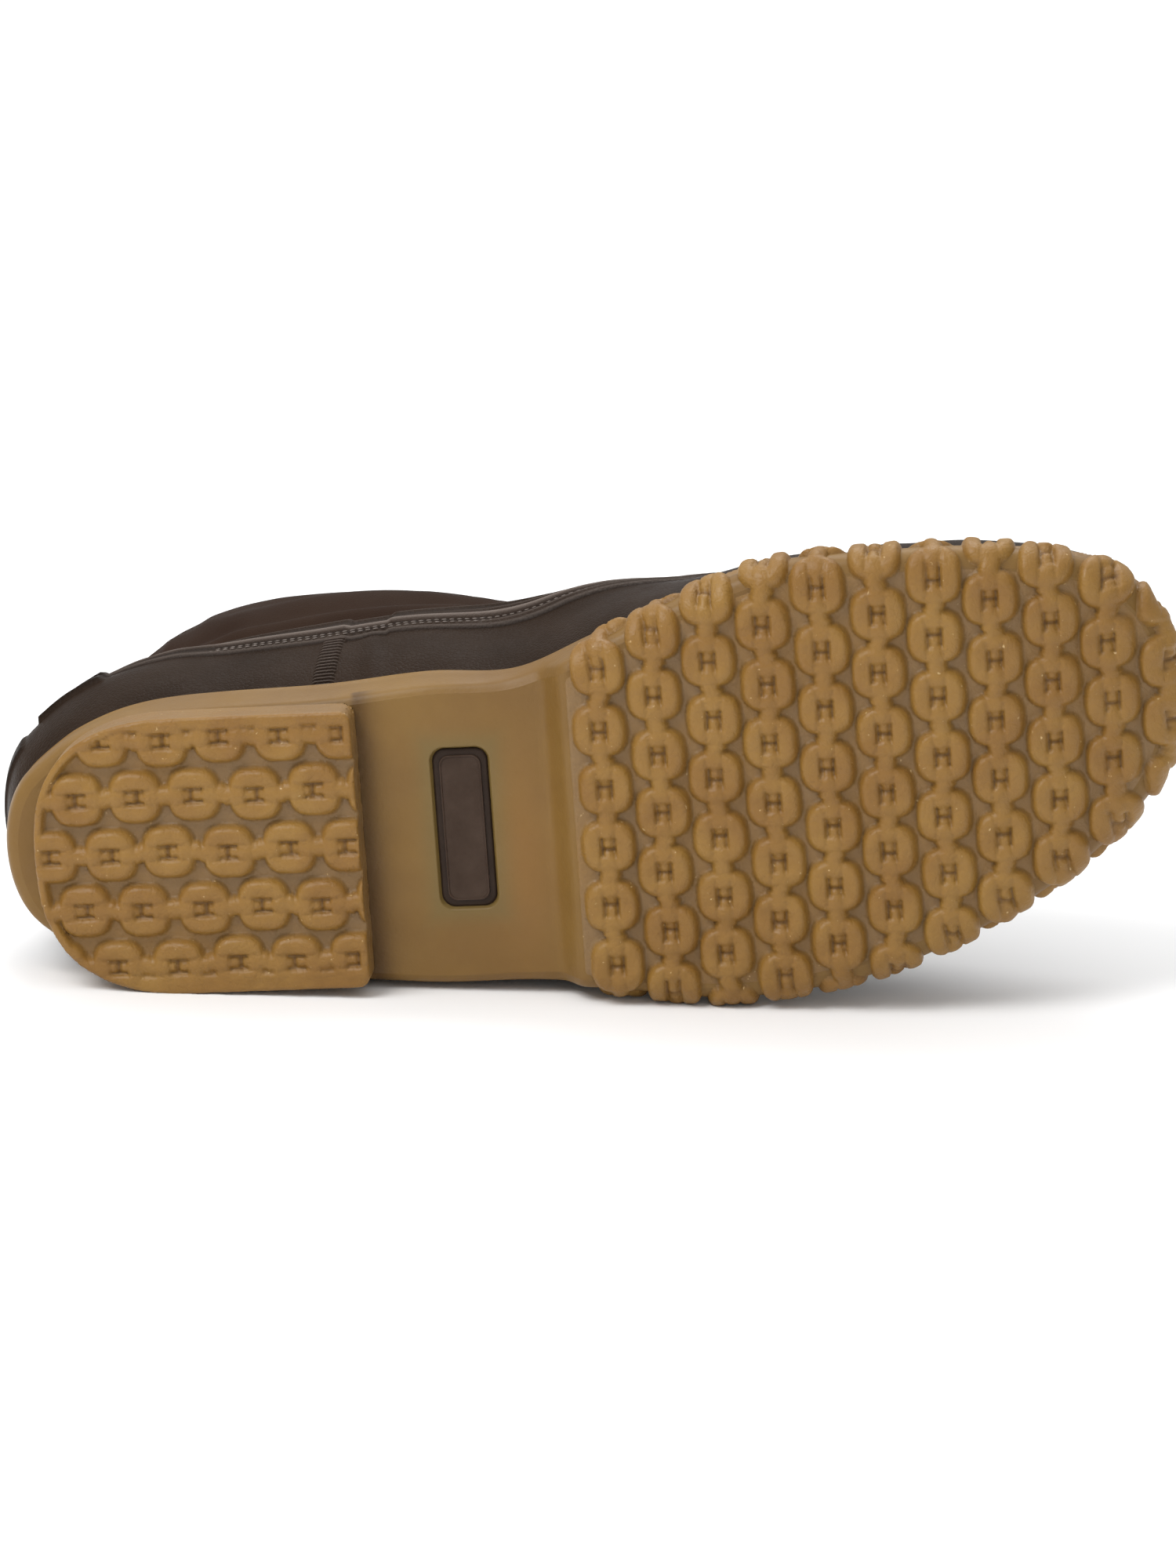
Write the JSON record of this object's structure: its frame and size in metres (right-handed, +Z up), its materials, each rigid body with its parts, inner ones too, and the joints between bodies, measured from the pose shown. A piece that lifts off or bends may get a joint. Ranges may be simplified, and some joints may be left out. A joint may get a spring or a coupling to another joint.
{
  "type": "duck boot",
  "caption": "Laced duck boot with a moulded rubber lower, a leather shaft and a chain-patterned gum sole, lying on its outer side.",
  "frame": {"origin": "centre of the bounding box, on the floor that the boot lies on", "axes": "+X from heel to toe, +Y from the sole towards the collar, +Z up, which is the boot's inner side"},
  "size_m": [0.2712, 0.176, 0.1084],
  "materials": {
    "gum_sole": "satin moulded gum rubber, warm tan chains on a greyer ground",
    "badge": "brown moulded rubber",
    "shell": "dark brown rubber with a fine leather-like grain, satin",
    "shaft": "smooth matte brown full-grain leather",
    "tongue": "soft brown leather",
    "backstay": "smooth brown leather strip",
    "eyelets": "aged brass",
    "lace": "rawhide lace, rounded",
    "insole": "felted lining"
  },
  "bodies": {
    "root": {"outsole": "gum_sole", "arch_badge": "badge", "insole": "insole", "shell": "shell", "shaft": "shaft", "tongue": "tongue", "backstay": "backstay", "lace": "lace", "eyelet_inner_1": "eyelets", "eyelet_outer_1": "eyelets", "eyelet_inner_2": "eyelets", "eyelet_outer_2": "eyelets", "eyelet_inner_3": "eyelets", "eyelet_outer_3": "eyelets", "eyelet_inner_4": "eyelets", "eyelet_outer_4": "eyelets", "eyelet_inner_5": "eyelets", "eyelet_outer_5": "eyelets"}
  },
  "joints": []
}
